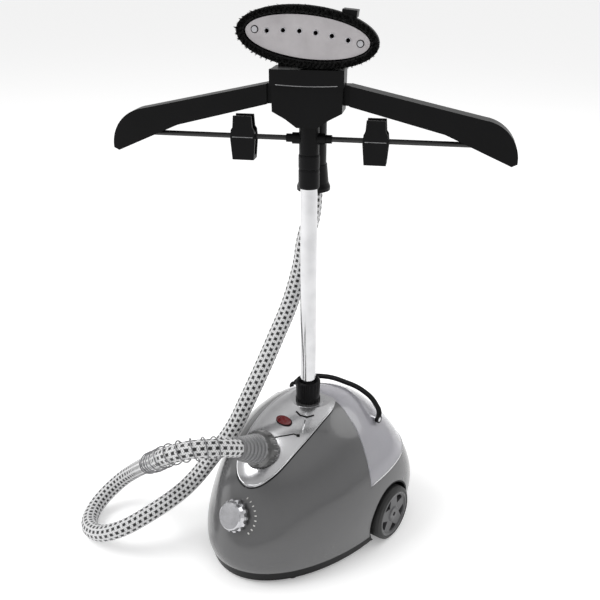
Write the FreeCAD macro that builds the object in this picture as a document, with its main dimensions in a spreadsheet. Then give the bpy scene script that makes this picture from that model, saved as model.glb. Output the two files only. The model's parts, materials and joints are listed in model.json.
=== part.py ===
import FreeCAD, Part
import math
import os
import re
import Sketcher
from FreeCAD import Placement, Rotation, Vector

# Floor-standing garment steamer. Millimetres, +Z up, front of the base towards -Y, origin on the
# floor at the middle of the base. The hanger and handset are drawn facing -Y and turned with the pole.

doc = FreeCAD.newDocument("GarmentSteamer")

# ---------------------------------------------------------------- driving dimensions
SIZES = {
    "base_half_width": 105, "base_half_length": 146, "base_depth_to_pole": 16, "wall": 2.5,
    "pan_floor_height": 5, "rim_height": 20, 
    "wheel_radius": 36.7, "wheel_y": 46.7, "wheel_outer_x": 121, "tyre_width": 24, "hub_radius": 30.7,
    "axle_radius": 3, "arch_gap": 5, "foot_radius": 9, "foot_x": 58, "foot_y": -92, "foot_height": 7,
    "pole_radius": 10, "pole_wall": 1, "slide_gap": 0.3, "running_gap": 0.05,
    "outer_pole_top": 472, "middle_pole_top": 500, "inner_pole_top": 575,
    "socket_radius": 13, "collar_radius": 16, "collar_height": 29,
    "knob_radius": 20, "knob_height": 12, "knob_flutes": 14, "lamp_half_length": 11,
    "lamp_half_width": 6, "nut_radius": 23, "nut_height": 16, "nut_ribs": 20,
    "hose_radius": 11, "sleeve_length": 37, "spiral_wire": 1.1,
    "hanger_yaw": 27.7, "hub_half_width": 39, "hub_bottom": 553, "hub_top": 600.8, "rod_height": 523,
    "rod_radius": 3, "arm_thickness": 22, "clip_u": 75.6, "clip_width": 29,
    "head_half_length": 77, "head_half_height": 32, "head_height": 634, "head_roll": 5.4,
    "handle_depth": 33, "cuff_bottom": 455, "steam_holes": 6,
    "boiler_radius": 42, "boiler_height": 44, "screw_radius": 1.6,
}
sheet = doc.addObject("Spreadsheet::Sheet", "Sizes")
for row, (alias, number) in enumerate(SIZES.items(), 1):
    sheet.set(f"A{row}", alias)
    sheet.set(f"B{row}", str(number))
    sheet.setAlias(f"B{row}", alias)
doc.recompute()

X, Y, Z, O = Vector(1, 0, 0), Vector(0, 1, 0), Vector(0, 0, 1), Vector(0, 0, 0)
nodes = {}


def size(alias):
    return float(getattr(sheet, alias))


def bind(obj, prop, text):
    """Bind a property to sheet cells: alias words in text are looked up in the sheet."""
    obj.setExpression(prop, re.sub(r"[a-z]\w+", lambda w: "Sizes." * (w.group() in SIZES) + w.group(), text))


def turned_to(direction):
    return Rotation(Z, Vector(*direction))


def prim(kind, pos=(0, 0, 0), direction=(0, 0, 1), **sizes):
    """A Part primitive standing at pos along direction; each size is a number or a sheet expression."""
    obj = doc.addObject("Part::" + kind, kind)
    for prop, value in sizes.items():
        if isinstance(value, str):
            bind(obj, prop, value)
        else:
            setattr(obj, prop, value)
    obj.Placement = Placement(Vector(*pos), turned_to(direction))
    return obj


def cylinder(radius, height, pos=(0, 0, 0), direction=(0, 0, 1)):
    return prim("Cylinder", pos, direction, Radius=radius, Height=height)


def cone(radius1, radius2, height, pos=(0, 0, 0), direction=(0, 0, 1)):
    return prim("Cone", pos, direction, Radius1=radius1, Radius2=radius2, Height=height)


def box(low, high):
    """An axis-aligned box from its low and high corners."""
    obj = doc.addObject("Part::Box", "Box")
    obj.Length, obj.Width, obj.Height = (b - a for a, b in zip(low, high))
    obj.Placement.Base = Vector(*low)
    return obj


def fuse(*objs):
    obj = doc.addObject("Part::MultiFuse", "Fuse")
    obj.Shapes = list(objs)
    return obj


def common(*objs):
    obj = doc.addObject("Part::MultiCommon", "Common")
    obj.Shapes = list(objs)
    return obj


def cut(base, *tools):
    obj = doc.addObject("Part::Cut", "Cut")
    obj.Base = base
    obj.Tool = tools[0] if len(tools) == 1 else fuse(*tools)
    return obj


def group(*objs):
    obj = doc.addObject("Part::Compound", "Group")
    obj.Links = list(objs)
    return obj


def shaped(shape):
    obj = doc.addObject("Part::Feature", "Shaped")
    obj.Shape = shape
    return obj


def node(label, obj, placement=None):
    """Name a finished sub-part; placement moves it from its own frame to the object's."""
    if label in nodes:
        nodes[label].Label = label + "_blank"
    obj.Label = label
    if placement is not None:
        obj.Placement = placement.multiply(obj.Placement)
    nodes[label] = obj
    return obj


# ---------------------------------------------------------------- sketched bodies
def new_sketch(body, role):
    plane = next(f for f in body.Origin.OriginFeatures if f.Role == role)
    sketch = body.newObject("Sketcher::SketchObject", "Sketch")
    sketch.AttachmentSupport = [(plane, "")]
    sketch.MapMode = "FlatFace"
    return sketch


def draw_outline(sketch, points):
    """A closed outline of straight lines. A point with a third number is the top of an arc to the next."""
    flat = [Vector(p[0], p[1], 0) for p in points]
    i, count = 0, len(points)
    first = sketch.GeometryCount
    while i < count:
        if len(points[(i + 1) % count]) == 3:
            sketch.addGeometry(Part.Arc(flat[i], flat[(i + 1) % count], flat[(i + 2) % count]), False)
            i += 2
        else:
            sketch.addGeometry(Part.LineSegment(flat[i], flat[(i + 1) % count]), False)
            i += 1
    return first


def draw_circle(sketch, centre, radius_text, start):
    """A circle whose radius follows the sheet; start is its value before the first recompute."""
    index = sketch.addGeometry(Part.Circle(Vector(*centre, 0), Z, start), False)
    number = sketch.addConstraint(Sketcher.Constraint("Radius", index, start))
    bind(sketch, f"Constraints[{number}]", radius_text)
    for axis, value in (("DistanceX", centre[0]), ("DistanceY", centre[1])):
        if value:
            sketch.addConstraint(Sketcher.Constraint(axis, -1, 1, index, 3, value))
    if not any(centre):
        sketch.addConstraint(Sketcher.Constraint("Coincident", index, 3, -1, 1))


def turned(points):
    """A body turned about its own Z axis from an outline of (radius, height) points."""
    body = doc.addObject("PartDesign::Body", "Turned")
    sketch = new_sketch(body, "XZ_Plane")
    draw_outline(sketch, points)
    feature = body.newObject("PartDesign::Revolution", "Revolution")
    feature.Profile = sketch
    feature.ReferenceAxis = (sketch, ["V_Axis"])
    feature.Angle = 360
    return body


def padded(points, length, role="XY_Plane", both=True):
    """A body padded from an outline, symmetric about its sketch plane when both is true."""
    body = doc.addObject("PartDesign::Body", "Padded")
    sketch = new_sketch(body, role)
    draw_outline(sketch, points)
    feature = body.newObject("PartDesign::Pad", "Pad")
    feature.Profile = sketch
    if both:
        feature.Midplane = True
    if isinstance(length, str):
        bind(feature, "Length", length)
    else:
        feature.Length = length
    return body


def cut_ring(body, centre, radius_text, start, depth_text, count_text):
    """Pocket one round flute in a padded or turned body and repeat it round the axis."""
    sketch = new_sketch(body, "XY_Plane")
    draw_circle(sketch, centre, radius_text, start)
    pocket = body.newObject("PartDesign::Pocket", "Flute")
    pocket.Profile = sketch
    bind(pocket, "Length", depth_text)
    pocket.Reversed = True
    pattern = body.newObject("PartDesign::PolarPattern", "Flutes")
    pattern.Originals = [pocket]
    pattern.Axis = (next(f for f in body.Origin.OriginFeatures if f.Role == "Z_Axis"), [""])
    pattern.Angle = 360
    bind(pattern, "Occurrences", count_text)
    body.Tip = pattern
    return body


# ---------------------------------------------------------------- base: dome and its layers
# Each row: height, half width, front and rear of the dome's egg-shaped section, where it is widest, and how
# square its rear is (2 is an ellipse).
DOME = [(20, 112, -146, 146, 45, 3), (45, 115, -146, 147, 45, 3.2), (84, 112, -128, 145, 40, 3),
        (120, 97, -108, 137, 30, 2.5), (150, 76, -78, 117, 20, 2), (171, 51, -38, 83, 22, 2),
        (180.5, 26, -2, 46, 22, 2)]
OUTLINE_POINTS = 24


def egg(half, front, rear, widest, square, height):
    """A closed level outline: half an ellipse in front of its widest line, a squarer half behind."""
    points = []
    for k in range(OUTLINE_POINTS):
        angle = 2 * math.pi * k / OUTLINE_POINTS
        across, along = math.sin(angle), math.cos(angle)
        power = square if along > 0 else 2
        reach = (abs(across) ** power + abs(along) ** power) ** (-1 / power)
        length = (rear - widest) if along > 0 else (widest - front)
        points.append(Vector(half * reach * across, widest + length * reach * along, height))
    outline = Part.BSplineCurve()
    outline.interpolate(points, PeriodicFlag=True)
    return Part.Wire(outline.toShape())


def dome(grow, top_grow=None, rows=DOME):
    """The base's outer form, grown outwards by grow; a negative grow gives its inside."""
    wires = []
    for index, (height, half, front, rear, widest, square) in enumerate(rows):
        height += (grow if top_grow is None else top_grow) if index == len(rows) - 1 else 0
        wires.append(egg(half + grow, front - grow, rear + grow, widest, square, height))
    return Part.makeLoft(wires, True, False)


def side_prism(outline, half_width):
    """A solid with the given (y, z) outline, reaching half_width each side of the middle."""
    points = [Vector(-half_width, y, z) for y, z in outline]
    return Part.Face(Part.makePolygon(points + points[:1])).extrude(X * 2 * half_width)


def tank_zone(grow):
    """Side outline of the rear part of the dome that the water tank fills, grown by grow."""
    return [(9 - grow, 95 - grow), (20 - grow, 135), (31 - grow, 168), (50 - grow, 200),
            (190, 200), (190, 104 - grow)]


def oval_face(half_length, half_height, height):
    ring = Part.Ellipse(Vector(half_length, 0, height), Vector(0, half_height, height), Vector(0, 0, height))
    return Part.Face(Part.Wire(ring.toShape()))


wall = size("wall")
pole_y = size("base_depth_to_pole")
nut_r, nut_h = size("nut_radius"), size("nut_height")
wheel_y, wheel_r = size("wheel_y"), size("wheel_radius")
full_dome = dome(0)
inner_dome = dome(-wall)


def tank_space(grow):
    """The space of the tank grown by grow, with a slot left free for the pole that runs down in front of it."""
    slot = Part.makeBox(2 * (21 - grow), 100, 200, Vector(grow - 21, pole_y + 18 - grow - 100, 40))
    return side_prism(tank_zone(grow), 130).cut(slot)


zone_seat, zone_gap, zone_tank = tank_space(wall + 0.5), tank_space(0.5), tank_space(0)

# Round openings through the dome: pole socket, hose port, dial, lamp.
NUT_AXIS = Vector(0, -0.87, 0.5).normalize()
NUT_FOOT = Vector(0, -70, 150)
DIAL_AXIS = Vector(0, -0.9, 0.44).normalize()
DIAL_FOOT = Vector(0, -127, 85)
LAMP_AXIS = Vector(0, -0.42, 0.91).normalize()
LAMP_FOOT = Vector(0, -33, 172)
socket_hole = Part.makeCylinder(size("socket_radius") + 0.05, 60, Vector(0, pole_y, 140))
port_hole = Part.makeCylinder(12.05, 60, NUT_FOOT - NUT_AXIS * 30, NUT_AXIS)
dial_hole = Part.makeCylinder(4, 40, DIAL_FOOT - DIAL_AXIS * 20, DIAL_AXIS)


def lamp_prism(grow, low, high):
    """An oval column along the lamp's axis, long side across the panel."""
    face = oval_face(size("lamp_half_length") + grow, size("lamp_half_width") + grow, low)
    column = face.extrude(Z * (high - low))
    column.Placement = Placement(LAMP_FOOT, Rotation(Z, LAMP_AXIS))
    return column


arch_r = wheel_r + size("arch_gap")
arches = [Part.makeCylinder(arch_r, 50, Vector(x, wheel_y, wheel_r), X) for x in (86, -136)]
liner_raw = Part.makeCompound([
    Part.makeCylinder(arch_r + 2, 50, Vector(x, wheel_y, wheel_r), X) for x in (84, -134)])

shell = full_dome.cut(inner_dome)
seat = full_dome.common(zone_seat)
shell = shell.fuse(seat).cut(zone_gap)
arch_cuts = [Part.makeCylinder(arch_r + 2.05, 50, Vector(x, wheel_y, wheel_r), X) for x in (84, -134)]
nut_pit = Part.makeCylinder(nut_r + 1.2, 60, NUT_FOOT + NUT_AXIS * 5.6, NUT_AXIS)
nut_cup = Part.makeCylinder(nut_r + 3.2, 60, NUT_FOOT + NUT_AXIS * 3.6, NUT_AXIS)
shell = shell.cut([socket_hole, port_hole, dial_hole, lamp_prism(0.05, -20, 20), nut_cup] + arch_cuts)
gland_hole = Part.makeCylinder(6.55, 30, Vector(0, 130, 60), Y)
# The tank leaves the seat upwards and backwards, so the hole for its cap is drawn out to the rear.
cap_slot = [Part.makeCylinder(12.5, 20, Vector(0, 92 + back, 88)) for back in (0, 7)]
shell = shell.cut([gland_hole] + cap_slot)
node("body_shell", shaped(shell))

# The pan is a shallow black tray with the lining of both wheel arches moulded in.
PAN = [(5, 107, -141, 141, 45, 3), DOME[0]]
PAN_INSIDE = [(5 + wall, 108, -142, 142, 45, 3), DOME[0]]
PAN_SKIRT = [(5, 108, -142, 142, 45, 3), DOME[0]]
tray = dome(0, 0, PAN)
hollow = dome(-wall, 0, PAN_INSIDE)
liners = liner_raw.common(dome(-0.4).fuse(dome(-0.4, 0, PAN_SKIRT)))
tray = tray.cut(hollow).fuse(liners).cut(arches)
axle_hole = Part.makeCylinder(size("axle_radius") + 0.05, 300, Vector(-150, wheel_y, wheel_r), X)
tray = tray.cut(axle_hole)
node("base_pan", shaped(tray.cut(Part.makeCylinder(6, 10, Vector(0, 100, 2)))))

feet = [turned([(0, 0), (8, 0), (9, 1.2), (9, 5), (0, 5)]) for _ in range(2)]
for side, foot in zip((1, -1), feet):
    foot.Placement.Base = Vector(side * size("foot_x"), size("foot_y"), 0)
node("front_feet", group(*feet))

# Chrome teardrop panel that lies on the front of the dome, with the ring round the pole.
PANEL_HALF = [(0, -109), (18, -103), (29, -90), (37, -62), (40, -30), (39, 0), (34, 28), (20, 46), (0, 52)]
panel_curve = Part.BSplineCurve()
panel_points = [Vector(x, y, 90) for x, y in PANEL_HALF] + [Vector(-x, y, 90) for x, y in PANEL_HALF[-2:0:-1]]
panel_curve.interpolate(panel_points, PeriodicFlag=True)
panel_column = Part.Face(Part.Wire(panel_curve.toShape())).extrude(Z * 110)
panel = dome(1.6).cut(full_dome).common(panel_column)
pole_ring = Part.makeCylinder(21, 4, Vector(0, pole_y, 178.5))
panel = panel.fuse(pole_ring).cut(full_dome).cut(zone_gap).fuse(nut_cup.common(dome(1.6)))
panel = panel.cut([socket_hole, port_hole, lamp_prism(0.05, -20, 20), nut_pit])
node("control_panel", shaped(panel))

node("lamp_lens", shaped(lamp_prism(0, -3, 4)))

# ---------------------------------------------------------------- inside the base
SOCKET_TOP = 182.5
node("pole_socket", cut(cylinder("socket_radius", SOCKET_TOP - 7.5, (0, pole_y, 7.5)),
                        cylinder("pole_radius", 200, (0, pole_y, 12))))
boiler_x, boiler_y, boiler_z = 0, -66, 14
FEED_X, FEED_Z = 20, 32
node("boiler", cut(fuse(cylinder("boiler_radius", "boiler_height", (boiler_x, boiler_y, boiler_z)),
                        cylinder(6, 30, (FEED_X, -44, FEED_Z), (0, 1, 0))),
                   cylinder("boiler_radius - 8", "boiler_height", (boiler_x, boiler_y, boiler_z + 6)),
                   cylinder(3, 60, (FEED_X, -60, FEED_Z), (0, 1, 0))))
cover_z = boiler_z + size("boiler_height")
cover = turned([(0, 0), (42, 0), (42, 4), (33, 4), (26, 14), (9, 17), (9, 26), (0, 26)])
cover.Placement.Base = Vector(boiler_x, boiler_y, cover_z)
node("boiler_cover", cut(cover, cylinder(6, 60, (boiler_x, boiler_y, cover_z - 1)),
                         cone(32, 8, 12, (boiler_x, boiler_y, cover_z - 0.01))))
bolt_ring = [(38 * math.cos(math.radians(a)), 38 * math.sin(math.radians(a))) for a in range(30, 390, 60)]
node("boiler_screws", group(*[fuse(cylinder("screw_radius", 12, (boiler_x + x, boiler_y + y, cover_z - 8)),
                                   cylinder(3, 3, (boiler_x + x, boiler_y + y, cover_z + 4)))
                              for x, y in bolt_ring]))
screw_bores = [Part.makeCylinder(size("screw_radius"), 12, Vector(boiler_x + x, boiler_y + y, cover_z - 8))
               for x, y in bolt_ring]
node("boiler", cut(nodes["boiler"], *[shaped(b) for b in screw_bores]))
node("boiler_cover", cut(nodes["boiler_cover"], *[shaped(b) for b in screw_bores]))
thermostat = turned([(0, 0), (9, 0), (9, 9), (4, 9), (4, 12), (0, 12)])
node("thermostat", thermostat, Placement(Vector(boiler_x + 42, boiler_y, 34), Rotation(Z, X)))


def tube_path(points, share=0.45):
    """Straight runs joined by tangent arcs, each as large as its two runs allow."""
    points = [Vector(*p) for p in points]
    edges, radii, here = [], [], points[0]
    for before, corner, after in zip(points, points[1:], points[2:]):
        into, out = (corner - before).normalize(), (after - corner).normalize()
        half = into.getAngle(out) / 2
        reach = share * min(before.distanceToPoint(corner), corner.distanceToPoint(after))
        radius = reach / math.tan(half)
        start, end = corner - into * reach, corner + out * reach
        middle = corner + (out - into).normalize() * (radius / math.cos(half) - radius)
        edges += [Part.LineSegment(here, start).toShape(), Part.Arc(start, middle, end).toShape()]
        radii.append(radius)
        here = end
    edges.append(Part.LineSegment(here, points[-1]).toShape())
    return Part.Wire(edges), radii


def tube(points, radius, bore=0):
    """A round tube or rod along tube_path; its volume is checked against section times length."""
    path, radii = tube_path(points)
    start, ahead = Vector(*points[0]), Vector(*points[1]) - Vector(*points[0])
    solid = path.makePipeShell([Part.Wire(Part.Circle(start, ahead, radius).toShape())], True, True)
    ideal = math.pi * radius ** 2 * path.Length
    print(f"tube length {path.Length:.1f}, volume ratio {solid.Volume / ideal:.4f}, radii",
          " ".join(f"{r:.0f}" for r in radii))
    if bore:
        solid = solid.cut(path.makePipeShell([Part.Wire(Part.Circle(start, ahead, bore).toShape())], True, True))
    return solid


cover_top = cover_z + 26
ELBOW_Y, ELBOW_Z = -56, 118
node("steam_pipe", shaped(tube([(boiler_x, boiler_y, cover_top - 14), (boiler_x, boiler_y, cover_top + 10),
                                (0, ELBOW_Y, ELBOW_Z - 10), (0, ELBOW_Y, ELBOW_Z + 8)], 6, 4)))
port_end = NUT_FOOT - NUT_AXIS * 24
port = fuse(cylinder(12, 28, port_end, NUT_AXIS), cylinder(10, 46, port_end, NUT_AXIS),
            cylinder(8, 22, (0, ELBOW_Y, ELBOW_Z)))
node("hose_port", cut(port, cylinder(6, 120, NUT_FOOT - NUT_AXIS * 18, NUT_AXIS),
                      cylinder(6, 24, (0, ELBOW_Y, ELBOW_Z - 0.5))))
node("dial_switch", cut(cylinder(14, 16, DIAL_FOOT - DIAL_AXIS * 24, DIAL_AXIS),
                        cylinder(3.05, 30, DIAL_FOOT - DIAL_AXIS * 20, DIAL_AXIS)))
node("terminal_block", cut(box((-40, 100, 8), (-14, 116, 22)), *[
    cylinder(2, 30, (7 * i - 34, 108, 12)) for i in range(3)]))
gland = turned([(3.6, 0), (9, 0), (9, 3), (6.5, 3), (6.5, 14), (3.6, 14)])
node("cord_gland", gland, Placement(Vector(0, 150.5, 60), Rotation(Z, Y * -1)))
housing_screw_places = [(-70, -60), (70, -60), (-52, 100), (52, 100)]
posts = [cylinder(5, 16, (x, y, 7.5)) for x, y in housing_screw_places]
node("base_pan", cut(fuse(nodes["base_pan"], *posts),
                     *[cylinder("screw_radius", 30, (x, y, 3)) for x, y in housing_screw_places]))
node("shell_screws", group(*[cylinder("screw_radius", 16, (x, y, 6)) for x, y in housing_screw_places]))
valve_seat = turned([(5, 0), (16, 0), (16, 10), (12, 10), (12, 3), (5, 3)])
VALVE = Vector(0, 92, 84)
node("valve_seat", valve_seat, Placement(VALVE, Rotation()))
feed_route = [(0, 92, 84), (0, 90, 64), (20, 66, 52), (28, 30, 47), (FEED_X, 8, FEED_Z), (FEED_X, -14, FEED_Z)]
node("feed_tube", shaped(tube(feed_route, 4.5, 3)))
axle = cylinder("axle_radius", "2 * wheel_outer_x - 6", (3 - size("wheel_outer_x"), wheel_y, wheel_r), (1, 0, 0))
node("wheel_axle", axle)

# ---------------------------------------------------------------- wheels
tyre_w, hub_r = size("tyre_width"), size("hub_radius")


# One window between two points of the star, on the hub's outer face.
WINDOW = [Vector(x, y, 15) for x, y in ((14.5, 0), (23.5, -8.6), (26.2, -3), (26.2, 3), (23.5, 8.6))]


def turn_by(point, degrees):
    return Rotation(Z, degrees).multVec(point)


def wheel(side, name):
    """Tyre and five-spoke hub, turned about the axle; drawn along Z with the outer face at the top."""
    place = Placement(Vector(side * (size("wheel_outer_x") - tyre_w), wheel_y, wheel_r), Rotation(Z, X * side))
    tyre = turned([(hub_r, 0), (wheel_r - 3, 0), (wheel_r - 0.5, 2), (wheel_r, 6), (wheel_r, tyre_w - 6),
                   (wheel_r - 0.8, tyre_w - 2), (wheel_r - 4, tyre_w), (hub_r, tyre_w)])
    node(f"{name}_tyre", tyre, place)
    hub = turned([(3.05, 2), (8, 2), (8, 14), (hub_r - 3, 14), (hub_r - 3, 2), (hub_r, 2), (hub_r, tyre_w - 0.5),
                  (hub_r - 2.5, tyre_w - 0.5), (hub_r - 4, tyre_w - 2), (11, tyre_w - 2), (9, tyre_w - 0.5),
                  (3.05, tyre_w - 0.5)])
    windows = [Part.Face(Part.makePolygon([turn_by(p, 72 * k) for p in WINDOW + WINDOW[:1]])).extrude(Z * 12)
               for k in range(5)]
    node(f"{name}_hub", cut(hub, *[shaped(window) for window in windows]), place)


wheel(1, "right")
wheel(-1, "left")

# ---------------------------------------------------------------- dial, hose nut and pole collar
dial_place = Placement(DIAL_FOOT + DIAL_AXIS * 2.5, Rotation(Z, DIAL_AXIS))
knob_r, knob_h = size("knob_radius"), size("knob_height")
knob = turned([(0, 3), (12, 3), (12, 0), (knob_r, 0), (knob_r, 4), (knob_r - 2, 6), (knob_r - 3.5, knob_h - 1.5),
               (knob_r - 5, knob_h), (0, knob_h)])
knob = cut_ring(knob, (knob_r + 0.8, 0), "knob_radius / 7", knob_r / 7, "knob_height + 1", "knob_flutes")
node("dial_knob", cut(knob, cylinder(3, 9)), dial_place)
node("dial_shaft", cylinder(3, 29.5, DIAL_FOOT - DIAL_AXIS * 19, DIAL_AXIS))

nut = turned([(10.05, 0), (nut_r, 0), (nut_r + 0.8, 4), (nut_r - 1, nut_h - 3), (nut_r - 4, nut_h), (10.05, nut_h)])
nut = cut_ring(nut, (nut_r + 1.8, 0), "nut_radius / 11", nut_r / 11, "nut_height + 1", "nut_ribs")
NUT_BASE = NUT_FOOT + NUT_AXIS * 6
node("hose_nut", nut, Placement(NUT_BASE, Rotation(Z, NUT_AXIS)))
sleeve_foot = NUT_BASE + NUT_AXIS * (nut_h + 0.3)
sleeve_len = size("sleeve_length")
sleeve_outline = [(0, 0), (18.5, 0)]
RIBS = 6
for i in range(RIBS):
    low, high = 18.5 - 5.5 * i / RIBS, 18.5 - 5.5 * (i + 1) / RIBS
    sleeve_outline += [(low, sleeve_len * (i + 0.6) / RIBS), (low - 1.2, sleeve_len * (i + 0.65) / RIBS),
                       (low - 1.2, sleeve_len * (i + 0.95) / RIBS), (high, sleeve_len * (i + 1) / RIBS)]
sleeve_outline += [(0, sleeve_len)]
node("hose_sleeve", turned(sleeve_outline), Placement(sleeve_foot, Rotation(Z, NUT_AXIS)))

collar_r, collar_h = size("collar_radius"), size("collar_height")
collar = turned([(10.05, 0), (collar_r, 0), (collar_r, 3), (collar_r - 1, 5), (collar_r, collar_h - 2),
                 (collar_r - 2, collar_h), (10.05, collar_h - 4)])
collar = cut_ring(collar, (collar_r + 0.6, 0), "collar_radius / 10", collar_r / 10, "collar_height + 1", "18")
node("pole_collar", collar, Placement(Vector(0, pole_y, SOCKET_TOP + 0.3), Rotation()))

# ---------------------------------------------------------------- hose and its support spiral
hose_start = sleeve_foot + NUT_AXIS * sleeve_len
turn = Placement(Vector(0, pole_y, 0), Rotation(Z, size("hanger_yaw")))
hose_top = turn.multVec(Vector(0, size("handle_depth"), size("cuff_bottom")))
HOSE_ROUTE = [
    tuple(hose_top), (hose_top.x, hose_top.y, 425), (-24, 39.5, 392), (-27, 37, 359), (-31, 29, 328),
    (-34, 16.5, 299), (-37, -1, 272), (-38.5, -20, 245), (-40.5, -39, 219), (-45, -55.5, 192), (-52, -68, 164),
    (-64, -78.5, 139), (-77, -89.5, 115), (-88, -103, 92), (-98, -121, 74), (-109, -143, 61), (-121, -169, 50),
    (-138, -194, 37), (-167, -209, 22), (-206, -201, 11.5), (-232, -164, 12.5), (-222, -125, 36.5),
    (-186, -120, 68), (-151, -139, 98), (-116, -154, 128), (-84, -174, 154), (-55, -185, 180), (-26, -175, 196),
    (-6.5, -154, 195), tuple(hose_start + NUT_AXIS * 16), tuple(hose_start)]
node("steam_hose", shaped(tube(HOSE_ROUTE, size("hose_radius"))))


def between(a, b):
    return tuple((Vector(*a) + Vector(*b)) / 2)


# The wire spiral round the first stretch of the hose is held here by one thin sleeve of its outer size.
SPIRAL_FROM, SPIRAL_TO = 24, 29
spiral_route = [between(*HOSE_ROUTE[SPIRAL_FROM - 1:SPIRAL_FROM + 1])] + HOSE_ROUTE[SPIRAL_FROM:SPIRAL_TO]
spiral_route.append(between(*HOSE_ROUTE[SPIRAL_TO - 1:SPIRAL_TO + 1]))
node("support_spiral", shaped(tube(spiral_route, size("hose_radius") + 0.8 + 2 * size("spiral_wire"),
                                   size("hose_radius") + 0.8)))

# ---------------------------------------------------------------- telescopic pole
for label, radius, foot, top in (("outer_pole", "pole_radius", 12, "outer_pole_top"),
                                 ("middle_pole", "pole_radius - pole_wall - slide_gap", 60, "middle_pole_top"),
                                 ("inner_pole", "pole_radius - 2 * pole_wall - 2 * slide_gap", 80, "inner_pole_top")):
    node(label, cut(cylinder(radius, f"{top} - {foot}", (0, pole_y, foot)),
                    cylinder(f"{radius} - pole_wall", 700, (0, pole_y, foot - 1))))
clamp = turned([(10.05, 0), (11.8, 0), (12.2, 2), (12.2, 20), (11.8, 22.5), (9, 22.5), (9, 6.3), (10.05, 6.3)])
node("lower_clamp", clamp, Placement(Vector(0, pole_y, 466), Rotation()))
clamp = turned([(8.75, 0), (12, 0), (12.2, 2), (12.2, 14), (11.8, 16), (7.75, 16), (7.75, 11), (8.75, 11)])
node("upper_clamp", clamp, Placement(Vector(0, pole_y, 489), Rotation()))

# ---------------------------------------------------------------- hanger, drawn on the pole axis facing -Y
half, hub_low, hub_high = size("hub_half_width"), size("hub_bottom"), size("hub_top")
hub_front = padded([(-11.5, hub_low - 15), (11.5, hub_low - 15), (24, hub_low - 6), (half, hub_low + 2),
                    (half + 1, hub_high), (-half - 1, hub_high), (-half, hub_low + 2), (-24, hub_low - 6)],
                   32, "XZ_Plane")
hub_front.Placement.Base = Vector(0, -2, 0)
hub_sleeve = cylinder(11.5, hub_low - 505.4, (0, 0, 505.4))
lip = box((-half - 2, -21, 583), (half + 2, -15, hub_high))
back_plate = box((-half + 2, 9, 580), (half - 2, 14, 605.5))
prongs = [box((low, 12, 585), (low + 4.5, 38, 600)) for low in (-21, 16.5)]
rod_z = size("rod_height")
bosses = fuse(cylinder(4.8, 52, (-26, 0, rod_z), (1, 0, 0)), cylinder(6.5, 38, (-19, 0, rod_z), (1, 0, 0)))
pole_bore = cylinder("pole_radius - 2 * pole_wall - 2 * slide_gap + running_gap", 70.5, (0, 0, 505))
arm_slots = box((-half - 5, -8, 562), (-half + 9, 8, 585)), box((half - 9, -8, 562), (half + 5, 8, 585))
rods = [cylinder("rod_radius", 172, (side * 12, 0, rod_z), (side, 0, 0)) for side in (1, -1)]
node("clip_rods", group(*rods), turn)
rod_tools = [cylinder("rod_radius", 172, (side * 12, 0, rod_z), (side, 0, 0)) for side in (1, -1)]
hub = fuse(hub_front, hub_sleeve, lip, bosses, back_plate, *prongs)
node("hanger_hub", cut(hub, pole_bore, *arm_slots, *rod_tools), turn)

ARM = [(31, 563), (31, 584), (45, 584), (193, 552), (219, 538, 0), (230, 506), (224, 503), (151, 535), (45, 562)]
for side, name in ((1, "left"), (-1, "right")):
    outline = [(-side * p[0],) + p[1:] for p in ARM]
    arm = padded(outline, "arm_thickness", "XZ_Plane")
    thin = box((-46, -40, 500), (46, -7.9, 620)), box((-46, 7.9, 500), (46, 40, 620))
    rod = cylinder("rod_radius", 200, (0, 0, rod_z), (-side, 0, 0))
    node(f"{name}_arm", cut(arm, *thin, rod), turn)

# ---------------------------------------------------------------- trouser clips, two jaws and a spring each
clip_w = size("clip_width") / 2
JAW = [(-clip_w + 2, -26), (clip_w - 2, -26), (clip_w, -2), (clip_w - 1, 8), (11.5, 11), (10.5, 24), (-10.5, 24),
       (-11.5, 11), (-clip_w + 1, 8), (-clip_w, -2)]


def jaw(front, u):
    """One jaw with its knuckles on the rod: two outer ones at the front, one middle one at the back."""
    face = padded(JAW, 2.4, "XZ_Plane")
    face.Placement = Placement(Vector(u, front * 7, rod_z), Rotation())
    near, far = sorted((0.4 * front, 6 * front))
    parts = [face, box((u - clip_w + 2, near, rod_z - 26), (u + clip_w - 2, far, rod_z - 21))]
    near, far = sorted((3.2 * front, 6 * front))
    for low, high in [(-13, -6.5), (6.5, 13)] if front < 0 else [(-5, 5)]:
        parts.append(cylinder(5.2, high - low, (u + low, 0, rod_z), (1, 0, 0)))
        parts.append(box((u + low, near, rod_z - 3.5), (u + high, far, rod_z + 3.5)))
    hole = cylinder("rod_radius + running_gap", 40, (u - 20, 0, rod_z), (1, 0, 0))
    return cut(fuse(*parts), hole)


for side, name in ((1, "left"), (-1, "right")):
    u = -side * size("clip_u")
    node(f"{name}_clip_front", jaw(-1, u), turn)
    node(f"{name}_clip_back", jaw(1, u), turn)
    coil = prim("Torus", (u + 5.75, 0, rod_z), (1, 0, 0), Radius1=3.9, Radius2=0.5)
    node(f"{name}_clip_spring", coil, turn)

# ---------------------------------------------------------------- handset: steam head, handle and cuff
head_l, head_h = size("head_half_length"), size("head_half_height")
head_turn = turn.multiply(Placement(Vector(0, 0, size("head_height")), Rotation(Y, size("head_roll"))))
face_on = Placement(O, Rotation(X, 90))


def head_layer(grow, back, front):
    """An oval slab of the head, between two depths measured forwards from the pole axis."""
    slab = oval_face(head_l + grow, head_h + grow, back).extrude(Z * (front - back))
    slab.Placement = face_on
    return slab


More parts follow.
